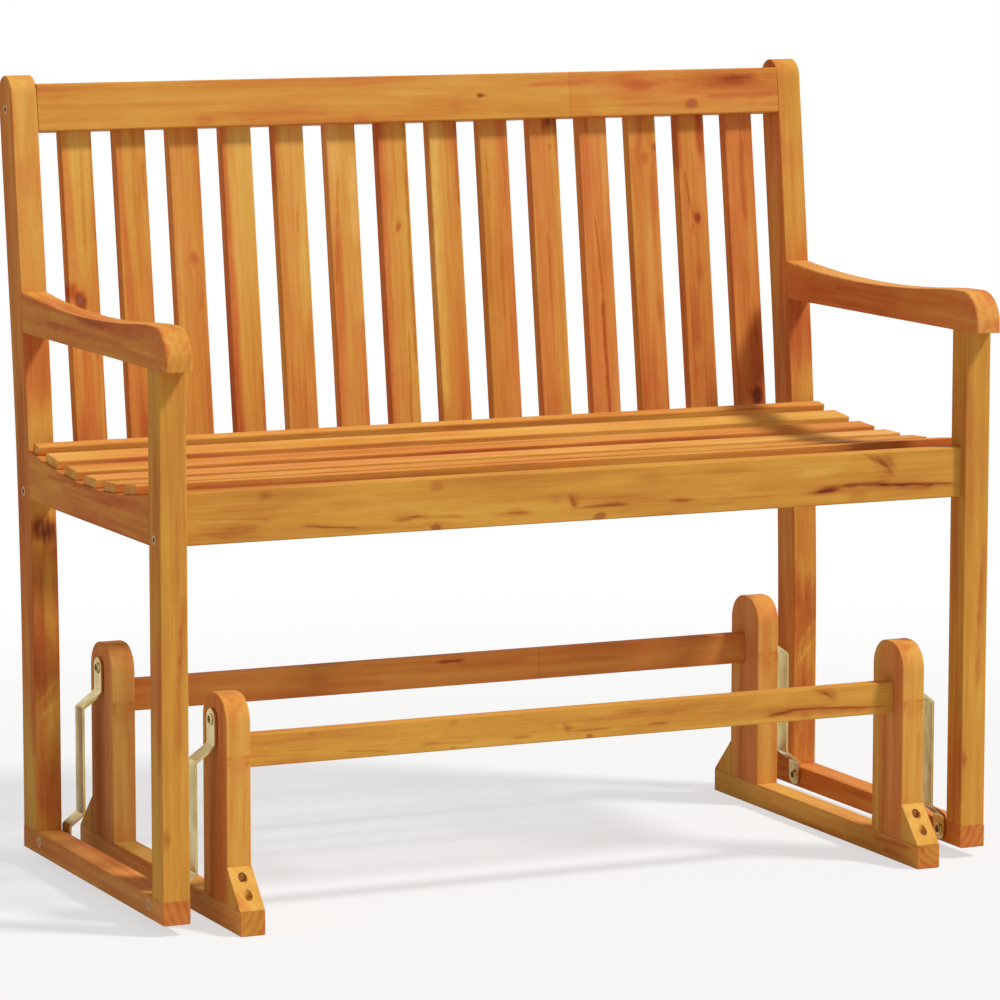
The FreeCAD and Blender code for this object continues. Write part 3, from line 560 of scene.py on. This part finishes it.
BOARDS = {
    "back_top_rail": dict(
        lie_name="sideways", tone=0.35, red=0.33, lively=0.75, joint=(203.6, 0.02, 0.2),
        knots=[(81, 4, 3.2, 0.4, 0.1), (374, -12, 5, 0.24, 0.4)],
        bands=[(140, 245, 16, 17, 2.5, 0.06, 0.6), (320, 500, 4, 10, 6, 0.08, 0.35),
               (240, 330, 20, 22, 6, 0.08, 0.4), (210, 300, -12, -14, 9, -0.06, -0.3),
               (380, 500, -4, -6, 3, 0.1, 0.3), (-60, 60, 8, 6, 3, -0.05, -0.1)],
        patches=[(300, 11, 24, 8, 0.14, 0.4), (420, 17, 80, 13, 0.26, 0.25), (436, 18, 34, 8, 0.12, 0.2),
                 (300, 10, 60, 14, 0.04, 0.2), (86, 4, 9, 2, 0.16, 0.2),
                 (-285, -18, 16, 9, 0.06, 0.3), (-80, -20, 12, 6, 0.05, 0.2), (50, -10, 14, 10, 0.04, 0.2)]),
    "seat_front_rail": dict(
        lie_name="sideways", tone=0.44, red=-0.06,
        knots=RAIL_KNOTS, bands=RAIL_BANDS, patches=RAIL_PATCHES),
    "front_stretcher": dict(
        lie_name="sideways", tone=0.42, red=-0.08, knots=lesser(RAIL_KNOTS, [0], [1, 2], 3),
        bands=lesser(RAIL_BANDS, [0, 1], [2, 3, 4], 5), patches=lesser(RAIL_PATCHES, [0, 2], [1, 3], 4)),
    "rear_stretcher": dict(
        lie_name="sideways", tone=0.37, red=0.65, lively=0.75, joint=(130, 0.0, 0.1),
        bands=[(-15, 36, 12, 12, 1.7, 0.32, 0.1), (0, 130, 5, 8, 4, 0.06, 0.4),
               (-200, -60, -4, -8, 4, 0.08, 0.2)],
        patches=[(180, -6, 60, 8, -0.08, -0.2)]),
    "seat_rear_rail": dict(lie_name="sideways", tone=0.42, red=0.5),
    "seat_centre_bearer": dict(lie_name="fore_and_aft", tone=0.42, red=0.5),
    # The rear posts' extra patches low down, below the seat, are partly darker timber and partly painted
    # shade.
    "left_rear_post": dict(
        lie_name="bent", tone=0.32, red=0.34, lively=0.85, edge=(16.5, 0.13, 0.22),
        side_patches=[(20, 0, 150, 40, 0.12, -0.2), (-90, 6, 110, 20, 0.04, 0.2),
                      (-400, 0, 110, 40, -0.12, -0.3), (250, -8, 110, 10, 0.03, 0.25)],
        bands=POST_BANDS, patches=POST_PATCHES_AND_SHADE + [(-180, 0, 160, 50, 0.06, -0.1)]),
    "right_rear_post": dict(
        lie_name="bent", tone=0.35, red=0.32, lively=0.85, edge=(16.5, 0.0, 0.45),
        patches=POST_PATCHES_AND_SHADE + [(-340, 0, 150, 60, 0.12, 0.15), (-180, 0, 80, 40, 0.05, 0.0)],
        side_bands=[(-WHOLE, WHOLE, -6, 2, 9, 0.08, 0.0)],
        side_patches=[(260, 0, 150, 50, -0.04, -0.3), (90, 0, 90, 40, 0.1, 0.0),
                      (-160, 10, 90, 20, -0.03, -0.1)],
        bands=POST_BANDS),
    "left_front_leg": dict(
        lie_name="upright", tone=0.45, red=-0.06, lively=0.95, edge=(16.5, 0.0, 0.3), bands=LEG_BANDS,
        side_patches=[(-70, 0, 70, 40, 0.06, 0.35), (-210, 4, 80, 30, -0.04, -0.35),
                      (150, 8, 80, 9, 0.06, 0.2)],
        patches=[(-228, -12, 14, 7, 0.16, 0.3), (-150, 8, 24, 7, -0.05, 0.0)]),
    "right_front_leg": dict(
        lie_name="upright", tone=0.45, red=0.06, lively=0.95, edge=(16.5, -0.04, 0.08), bands=LEG_BANDS,
        side_patches=[(-240, 0, 70, 40, 0.0, 0.35), (20, -6, 120, 12, 0.06, 0.1)],
        patches=[(-218, -13, 12, 7, 0.16, 0.3), (-150, 8, 24, 7, -0.05, 0.0)]),
    "left_runner": dict(
        lie_name="fore_and_aft", tone=0.28, red=0.74, ends=0.24,
        bands=[(-WHOLE, WHOLE, 12, 12, 4, 0.06, -0.1)]),
    "right_runner": dict(lie_name="fore_and_aft", tone=0.38, red=0.68, ends=0.14),
    "left_seat_side_rail": dict(
        lie_name="fore_and_aft", tone=0.46, red=0.62,
        bands=[(-100, 100, 0, -2, 3, 0.14, 0.2), (-20, 140, 10, 8, 2, 0.12, 0.1)]),
    "right_seat_side_rail": dict(lie_name="fore_and_aft", tone=0.4, red=0.6),
    "left_armrest": dict(
        lie_name="fore_and_aft", tone=0.38, red=0.4, ends=0.05,
        side_bands=[(-WHOLE, WHOLE, 16, 16, 4, 0.14, 0.2)],
        bands=[(-120, 170, -5, -6, 4, 0.1, 0.3), (-60, 60, 8, 9, 3, 0.08, 0.2)]),
    "right_armrest": dict(
        lie_name="fore_and_aft", tone=0.3, red=0.55,
        bands=[(-180, 120, 3, 2, 3, 0.12, 0.2), (-60, 200, -6, -5, 2.5, 0.1, 0.2)],
        side_bands=[(-WHOLE, WHOLE, 16, 16, 3, 0.05, 0.4)]),
    "left_foot": dict(
        lie_name="fore_and_aft", tone=0.25, red=0.22, ends=0.28,
        side_bands=[(-WHOLE, WHOLE, 15, 15, 3, -0.08, 0.5)]),
    "right_foot": dict(
        lie_name="fore_and_aft", tone=0.27, red=0.32, ends=0.25,
        bands=[(-262, -140, 6, 4, 3.5, 0.2, 0.3), (-250, -170, -4, -7, 3, 0.16, 0.3)]),
    "frame_dowels": dict(lie_name="upright", tone=0.3, red=0.2),
}
# The base's uprights and braces. Each upright has its own tone and redness. The first side band, a dark
# stripe up the middle of their narrow sides, is partly darker timber and partly painted shadow of the hanger
# plate.
UPRIGHT_TONES = {("left", "front"): (0.34, 0.28), ("left", "rear"): (0.2, 0.5),
                 ("right", "front"): (0.32, 0.3), ("right", "rear"): (0.29, 0.46)}
for (side, end), (tone, red) in UPRIGHT_TONES.items():
    BOARDS[f"{side}_{end}_upright"] = dict(
        lie_name="upright", tone=tone, red=red, lively=0.9, edge=(15.0, -0.05, 0.45),
        patches=[(48, -12, 3, 6, 0.16, 0.1), (42, -13, 4, 4, 0.12, 0.1), (49, 11, 2.5, 8, 0.18, 0.1),
                 (42, 12, 4, 5, 0.12, 0.1), (40, 0, 16, 18, 0.04, 0.15), (100, 0, 16, 20, 0.0, 0.15)],
        bands=[(-WHOLE, 30, -2, 2, 5, -0.04, -0.1), (-60, 20, 6, 8, 1.5, 0.08, 0.2)],
        side_bands=[(-WHOLE, 75, -5, -7, 12, 0.21, 0.05), (-WHOLE, WHOLE, -26, -25, 8, -0.06, -0.4),
                    (-WHOLE, WHOLE, 22, 24, 6, 0.03, 0.2)])
    BOARDS[f"{side}_{end}_brace"] = dict(lie_name="upright", tone=0.3, red=0.15)

# The seat slats from the front, the last one narrower. Their narrow sides are darker: painted shade, as they
# get less bounce light than the open faces.
SEAT_EDGE_SHADE = (20.2, 0.21, 0.0)
REAR_EDGE_SHADE = (9.6, 0.16, -0.1)
SEAT_SLATS = [
    dict(tone=0.35, red=0.45, edge=SEAT_EDGE_SHADE), dict(tone=0.34, red=0.42, edge=SEAT_EDGE_SHADE),
    dict(tone=0.19, red=0.44, edge=SEAT_EDGE_SHADE), dict(tone=0.35, red=0.5, edge=SEAT_EDGE_SHADE),
    dict(tone=0.27, red=0.3, edge=(20.2, 0.1, 0.2)), dict(tone=0.32, red=0.48, edge=REAR_EDGE_SHADE)]
for number, facts in enumerate(SEAT_SLATS, 1):
    BOARDS[f"seat_slat_{number}"] = dict(lie_name="flat", **facts)

# The back slats from left to right. Each grows darker and redder towards its foot: painted shade and warm
# bounce light near the seat.
BACK_SLATS = [
    dict(tone=0.2, red=0.1, painted_shade_fall=(0.14, 0.3), knots=[(-8, -6, 6.5, 0.42, 0.6)],
         bands=[(40, 182, 4, 6, 2.5, 0.1, 0.2), (-WHOLE, WHOLE, 18.5, 18.5, 1.6, 0.2, 0.1),
                (-WHOLE, -60, -6, -6, 17, 0.16, 0.6)],
         patches=[(2, -15, 14, 9, 0.28, 0.6)]),
    dict(tone=0.35, red=0.33, painted_shade_fall=(0.12, 0.4),
         bands=[(100, 168, 14, 16, 2, 0.16, 0.15), (-WHOLE, -85, 9, 9, 14, 0.26, 0.6)]),
    dict(tone=0.37, red=0.53, painted_shade_fall=(0.06, 0.1), knots=[(38, 5, 5.5, 0.16, 0.6)],
         bands=[(-WHOLE, WHOLE, -14, -14, 5, -0.06, -0.1), (-35, 8, 8, 18, 3, 0.12, 0.1)]),
    dict(tone=0.19, red=0.1, painted_shade_fall=(0.18, 0.4),
         bands=[(-WHOLE, WHOLE, -17, -17, 6, 0.2, 0.75), (-WHOLE, -90, 18, 18, 3, 0.15, 0.5)]),
    dict(tone=0.28, red=0.38, painted_shade_fall=(0.1, 0.2),
         bands=[(95, WHOLE, -17, -15, 5, 0.12, 0.4), (55, 108, 5, 7, 1.4, 0.18, 0.2),
                (-70, 70, 9, 11, 4, -0.08, -0.25)]),
    dict(tone=0.24, red=0.3, painted_shade_fall=(0.1, 0.3),
         bands=[(20, 185, 13, 14, 6, -0.16, -0.2), (60, 138, -12, -5, 2, 0.16, 0.1),
                (-10, 62, -15, -12, 2, 0.12, 0.1), (-WHOLE, -30, 17, 17, 3, 0.12, 0.4)]),
    dict(tone=0.26, red=0.33, painted_shade_fall=(0.06, 0.1), knots=[(66, 2, 3, 0.16, 0.1)],
         bands=[(-WHOLE, WHOLE, -18, -17, 7, 0.14, 0.7), (130, WHOLE, -18, -18, 7, 0.16, 0.3),
                (-110, WHOLE, 16, 16, 1.8, 0.24, 0.2), (-WHOLE, -60, 5, 7, 1.6, 0.24, 0.1),
                (50, 78, -6, 8, 2, 0.14, 0.1), (56, 84, 9, 0, 2, 0.12, 0.1)]),
    dict(tone=0.34, red=0.45, painted_shade_fall=(0.06, 0.2),
         bands=[(-180, WHOLE, -13, -12, 6, -0.2, -0.45), (80, WHOLE, 18, 17, 2.4, 0.14, 0.3)]),
    dict(tone=0.31, red=0.47, painted_shade_fall=(0.1, 0.2),
         bands=[(90, 168, -11, -12, 2, 0.14, 0.0), (-60, 38, 2, 3, 2.2, 0.12, 0.1)]),
    dict(tone=0.3, red=0.36, painted_shade_fall=(0.08, 0.2),
         bands=[(-WHOLE, 60, -2, -1, 2, 0.14, 0.1), (-WHOLE, WHOLE, 13, 13, 6, 0.0, -0.25),
                (140, WHOLE, 18, 17, 2.5, 0.16, 0.2)],
         patches=[(191, 9, 18, 13, 0.5, 0.1), (160, 8, 7, 4, 0.16, 0.1)]),
    dict(tone=0.26, red=0.6, painted_shade_fall=(0.1, 0.3),
         bands=[(-40, 80, 4, -4, 1.4, 0.24, 0.2), (-WHOLE, -25, 8, 3, 1.9, 0.32, 0.25),
                (165, WHOLE, -8, -18, 2.5, 0.2, 0.1), (-WHOLE, WHOLE, 16, 15, 5, -0.05, -0.1)]),
    dict(tone=0.34, red=0.38, painted_shade_fall=(0.1, 0.3), knots=[(142, 2, 5, 0.08, 0.0), (157, 18, 3.5, 0.22, 0.3)],
         bands=[(-85, -10, 13, 11, 4, 0.12, 0.2)]),
    dict(tone=0.39, red=0.5, painted_shade_fall=(0.1, 0.2), knots=[(65, 3, 4, 0.32, 0.0)],
         bands=[(110, WHOLE, -18, -18, 4, 0.22, 0.2), (120, WHOLE, 13, 16, 5, 0.26, 0.3),
                (62, 135, -2, -13, 1.8, 0.18, 0.1), (40, 62, -6, -2, 2.2, 0.16, 0.1),
                (-35, 30, 3, 4, 4, 0.12, 0.1)],
         patches=[(-108, -5, 18, 9, -0.07, -0.25)]),
    dict(tone=0.42, red=0.72, painted_shade_fall=(0.12, 0.1), knots=[(-165, 6, 6.5, 0.34, 0.1)],
         bands=[(40, 182, 4, 3, 3.6, 0.16, 0.2), (-WHOLE, -20, 13, 9, 8, 0.2, 0.2),
                (-150, 160, -15, -15, 4, -0.1, -0.1)]),
]
for number, facts in enumerate(BACK_SLATS, 1):
    BOARDS[f"back_slat_{number:02d}"] = dict(lie_name="leaning", **facts)


def dress_with(node, material):
    """Gives a CAD node its finish in place of the plain one."""
    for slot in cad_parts[node].material_slots:
        slot.material = material


# Measures of the solids: radii, and how far back the bolts through the rear rail are.
PIVOT_HEAD_R = 7 * MM
CONNECTOR_CAP_R = 5.5 * MM
REAR_CONNECTOR_Y = 210.656 * MM
SLEEVE_CAP_R = 6.5 * MM


def pivot_places(node, reach):
    """Where in Y and Z the front and the rear pivots of a node of pivot fasteners are."""
    low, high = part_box(node)
    height = (low.z + high.z) / 2
    return [(low.y + reach, height), (high.y - reach, height)]


def connector_places():
    """Where in Y and Z the three bolts on each side are: at the front, the rear and the top rail."""
    low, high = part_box("frame_connector_bolts")
    seat_height = low.z + CONNECTOR_CAP_R
    return [(low.y + CONNECTOR_CAP_R, seat_height), (REAR_CONNECTOR_Y, seat_height),
            (high.y - CONNECTOR_CAP_R, high.z - CONNECTOR_CAP_R)]


def finish_all_pieces():
    """Gives every CAD node its finish. A node that is neither a board nor browned is bright zinc."""
    zinc = plated_steel("zinc_steel_plate", ZINC_PALE, ZINC_GOLD)
    metals = {
        # The base screws are brown and barely metallic.
        "base_screws": plated_steel("brown_base_screws", SCREW_PALE, SCREW_DARK, metallic=0.1, gloss=0.2),
        "frame_connector_bolts": plated_steel(
            "bronzed_frame_connector_bolts", CAP_BROWN, CAP_BROWN, metallic=0.1, gloss=0.1,
            rims=(CONNECTOR_CAP_R, connector_places(), CAP_RIM)),
        "lower_pivot_sleeves": plated_steel(
            "bronzed_lower_pivot_sleeves", CAP_BROWN, CAP_BROWN, metallic=0.1, gloss=0.1,
            rims=(SLEEVE_CAP_R, pivot_places("lower_pivot_sleeves", SLEEVE_CAP_R), CAP_RIM)),
    }
    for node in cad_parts:
        if node in BOARDS:
            dress_with(node, oiled_timber(node, **BOARDS[node]))
        else:
            dress_with(node, metals.get(node, zinc))


# A pivot bolt's shape from the end of its shank to the middle of its socket, in millimetres: radius, and
# height above the strap. Its low head is eased round its edge, and the socket has six sides.
HEAD_TOP = 1.8
BOLT_PROFILE = [(0.0, -26.0), (3.4, -26.0), (4.0, -25.4), (4.0, 0.0), (7.0, 0.0), (7.0, 0.7), (6.8, 1.2),
                (6.4, 1.5), (5.9, 1.7), (5.4, HEAD_TOP)]
SOCKET_HALF = 4.2
SOCKET_LIP = 0.25
SOCKET_FLOOR = 0.3
SOCKET_PROFILE = [(SOCKET_HALF + SOCKET_LIP, HEAD_TOP), (SOCKET_HALF, HEAD_TOP - SOCKET_LIP),
                  (SOCKET_HALF, SOCKET_FLOOR), (0.0, SOCKET_FLOOR)]
BOLT_STEPS = 48
SIXTH_TURN = pi / 3

# A point is the socket's above LOWEST_IN_SOCKET and between these distances from the bolt's axis.
LOWEST_IN_SOCKET = (SOCKET_FLOOR - 0.05) * MM
SOCKET_NEAR = 0.5 * MM
SOCKET_FAR = (SOCKET_HALF + 2 * SOCKET_LIP) * MM

# Faces whose middle is this near the axis take painted shade, for the shade in and round the socket. Lengths
# of the solids: from their outer ends to the seats of the upper bolts' heads, and to those of the lower
# bolts' heads.
SOCKET_SHADE_WITHIN = 4.6 * MM
UPPER_HEAD_H = 4 * MM
LOWER_SHANK = 33.8 * MM
MERGE_WITHIN = 0.01 * MM
SHARP_FROM = radians(40)


def six_sided(turn, half):
    """How far the side of a hexagon is from its middle, at a turn in radians, half across its flats."""
    return half / cos((turn % SIXTH_TURN) - SIXTH_TURN / 2)


def add_pivot_bolt(shape, seat, outward, turn):
    """A bolt whose head sits at seat and points along X, outward 1 or -1. turn sets its socket."""
    outline = [shape.verts.new((height * MM, radius * MM, 0))
               for radius, height in BOLT_PROFILE + SOCKET_PROFILE]
    edges = [shape.edges.new(pair) for pair in zip(outline, outline[1:])]
    bmesh.ops.spin(shape, geom=outline + edges, cent=(0, 0, 0), axis=(1, 0, 0), dvec=(0, 0, 0),
                   angle=2 * pi, steps=BOLT_STEPS, use_merge=True)
    fresh = [vert for vert in shape.verts if not vert.tag]
    for vert in fresh:
        reach = length_of(vert.co.y, vert.co.z)
        if vert.co.x > LOWEST_IN_SOCKET and SOCKET_NEAR < reach < SOCKET_FAR:
            around = Vector((0, vert.co.y, vert.co.z)).normalized()
            angle = pi + Vector((vert.co.y, vert.co.z)).angle_signed(Vector((1, 0)))
            widened = around * six_sided(angle + turn, reach)
            vert.co.y, vert.co.z = widened.y, widened.z
        vert.co.x *= outward
        vert.co += seat
        vert.tag = True


def make_pivot_bolts(node, body, inset, outward, bright, shaded_socket_finish):
    """The detailed bolts in place of a CAD node of four. inset is from the node's outer end to the seats of
    the heads, outward 1 where the heads point away from the middle of the bench and -1 towards it."""
    _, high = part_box(node)
    seat_x = high.x - inset
    shape = bmesh.new()
    chance = random.Random(node)
    places = pivot_places(node, PIVOT_HEAD_R)
    for side in (-1, 1):
        for y, z in places:
            add_pivot_bolt(shape, Vector((side * seat_x, y, z)), side * outward,
                           chance.uniform(0, SIXTH_TURN))
    bmesh.ops.remove_doubles(shape, verts=shape.verts[:], dist=MERGE_WITHIN)
    bmesh.ops.recalc_face_normals(shape, faces=shape.faces[:])
    for face in shape.faces:
        face.smooth = True
        middle = face.calc_center_median()
        off_seat = (abs(middle.x) - seat_x) * outward
        reach = min(length_of(middle.y - y, middle.z - z) for y, z in places)
        # Painted shade: faces in and round the socket take the darker, barely metallic finish.
        face.material_index = int(reach < SOCKET_SHADE_WITHIN and off_seat > 0)
    mesh = bpy.data.meshes.new(f"detailed_{node}")
    shape.to_mesh(mesh)
    shape.free()
    mesh.set_sharp_from_angle(angle=SHARP_FROM)
    bolts = bpy.data.objects.new(f"detailed_{node}", mesh)
    bpy.context.collection.objects.link(bolts)
    mesh.materials.append(bright)
    mesh.materials.append(shaded_socket_finish)
    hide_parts(node)
    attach(bolts, body)


def make_all_bolts():
    bright = plated_steel("zinc_pivot_bolts", ZINC_PALE, ZINC_GOLD)
    shaded_socket_finish = plated_steel("painted_shade_bolt_sockets", SOCKET_SHADE, SOCKET_DEEP_SHADE, metallic=0.2)
    make_pivot_bolts("upper_pivot_bolts", "base", UPPER_HEAD_H, 1, bright, shaded_socket_finish)
    make_pivot_bolts("lower_pivot_bolts", "glider", LOWER_SHANK, -1, bright, shaded_socket_finish)


# The view of the photograph, found by fitting a camera to the bench's corners. Lens and sensor are in
# millimetres.
CAMERA_PLACE = Vector((-2.40357, -5.26447, 1.23596))
CAMERA_YAW = radians(24.5414)
CAMERA_PITCH = radians(-7.8835)
CAMERA_ROLL = radians(0.0418)
CAMERA_LENS = 175.015
SENSOR = 36.0


def set_up_camera():
    lens = bpy.data.cameras.new("camera")
    lens.lens = CAMERA_LENS
    lens.sensor_width = SENSOR
    lens.sensor_height = SENSOR
    ahead = Vector((sin(CAMERA_YAW) * cos(CAMERA_PITCH), cos(CAMERA_YAW) * cos(CAMERA_PITCH),
                    sin(CAMERA_PITCH)))
    level = Vector((cos(CAMERA_YAW), -sin(CAMERA_YAW), 0))
    above = level.cross(ahead)
    right = level * cos(CAMERA_ROLL) + above * sin(CAMERA_ROLL)
    up = above * cos(CAMERA_ROLL) - level * sin(CAMERA_ROLL)
    camera = bpy.data.objects.new("camera", lens)
    turned = Matrix((right, up, -ahead)).transposed().to_4x4()
    camera.matrix_world = Matrix.Translation(CAMERA_PLACE) @ turned
    bpy.context.collection.objects.link(camera)
    bpy.context.scene.camera = camera


# The light: an even room, and one soft lamp far away, high on the right in front of the bench. Its
# direction comes from the shadows of the top rail on the slats and of the right arm on the seat.
ROOM_LEVEL = 0.42
KEY_FROM = Vector((0.65, -0.48, 1.0)).normalized()
KEY_LEVEL = 0.99
KEY_SOFTNESS = radians(9)


def shows_background(finish):
    """1 for a ray from the camera or from a mirror or glass, which sees the background, and otherwise 0."""
    paths = finish.node("ShaderNodeLightPath").socket.node.outputs
    camera, glossy, through = [Signal(finish, paths[name])
                               for name in ("Is Camera Ray", "Is Glossy Ray", "Is Transmission Ray")]
    return camera.or_more(glossy).or_more(through)


def set_up_light():
    lamp = bpy.data.lights.new("key", "SUN")
    lamp.angle = KEY_SOFTNESS
    lamp.energy = KEY_LEVEL * pi
    key = bpy.data.objects.new("key", lamp)
    key.matrix_world = KEY_FROM.to_track_quat("Z", "Y").to_matrix().to_4x4()
    bpy.context.collection.objects.link(key)

    world = bpy.data.worlds.new("room")
    bpy.context.scene.world = world
    room = Finish("room", world)
    seen = shows_background(room)
    level = seen * (1 - ROOM_LEVEL) + ROOM_LEVEL
    light = room.node("ShaderNodeBackground", None, {"Color": WHITE, "Strength": level})
    room.node("ShaderNodeOutputWorld", sockets={"Surface": light})


# The floor in metres: its radius, and where from its middle it goes from partly to wholly white.
FLOOR_REACH = 14.0
FLOOR_SIDES = 96
WHITE_NEAR = 0.62
FADE_FROM = 0.9
FADE_TO = 2.2


def lay_floor():
    """A pale floor that keeps a light shadow near the bench and is white further out."""
    mesh = bpy.data.meshes.new("floor")
    shape = bmesh.new()
    bmesh.ops.create_circle(shape, cap_ends=True, segments=FLOOR_SIDES, radius=FLOOR_REACH)
    shape.to_mesh(mesh)
    shape.free()
    floor = bpy.data.objects.new("floor", mesh)
    bpy.context.collection.objects.link(floor)
    finish = Finish("floor_pale")
    place = finish.node("ShaderNodeTexCoord", out="Object")
    reach = finish.node("ShaderNodeVectorMath", {"operation": "LENGTH"}, {0: place}, out="Value")
    ground = finish.node("ShaderNodeBsdfDiffuse", None, {"Color": FLOOR_SHADE})
    white = finish.node("ShaderNodeEmission", None, {"Color": WHITE, "Strength": 1.0})
    whiteness = reach.rise(FADE_FROM, FADE_TO) * (1 - WHITE_NEAR) + WHITE_NEAR
    whiteness = whiteness * shows_background(finish)
    floor.data.materials.append(finish.surface(
        finish.node("ShaderNodeMixShader", None, {0: whiteness, 1: ground, 2: white})))


bpy.context.scene.view_settings.view_transform = "Standard"
finish_all_pieces()
make_all_bolts()
set_up_camera()
set_up_light()
lay_floor()
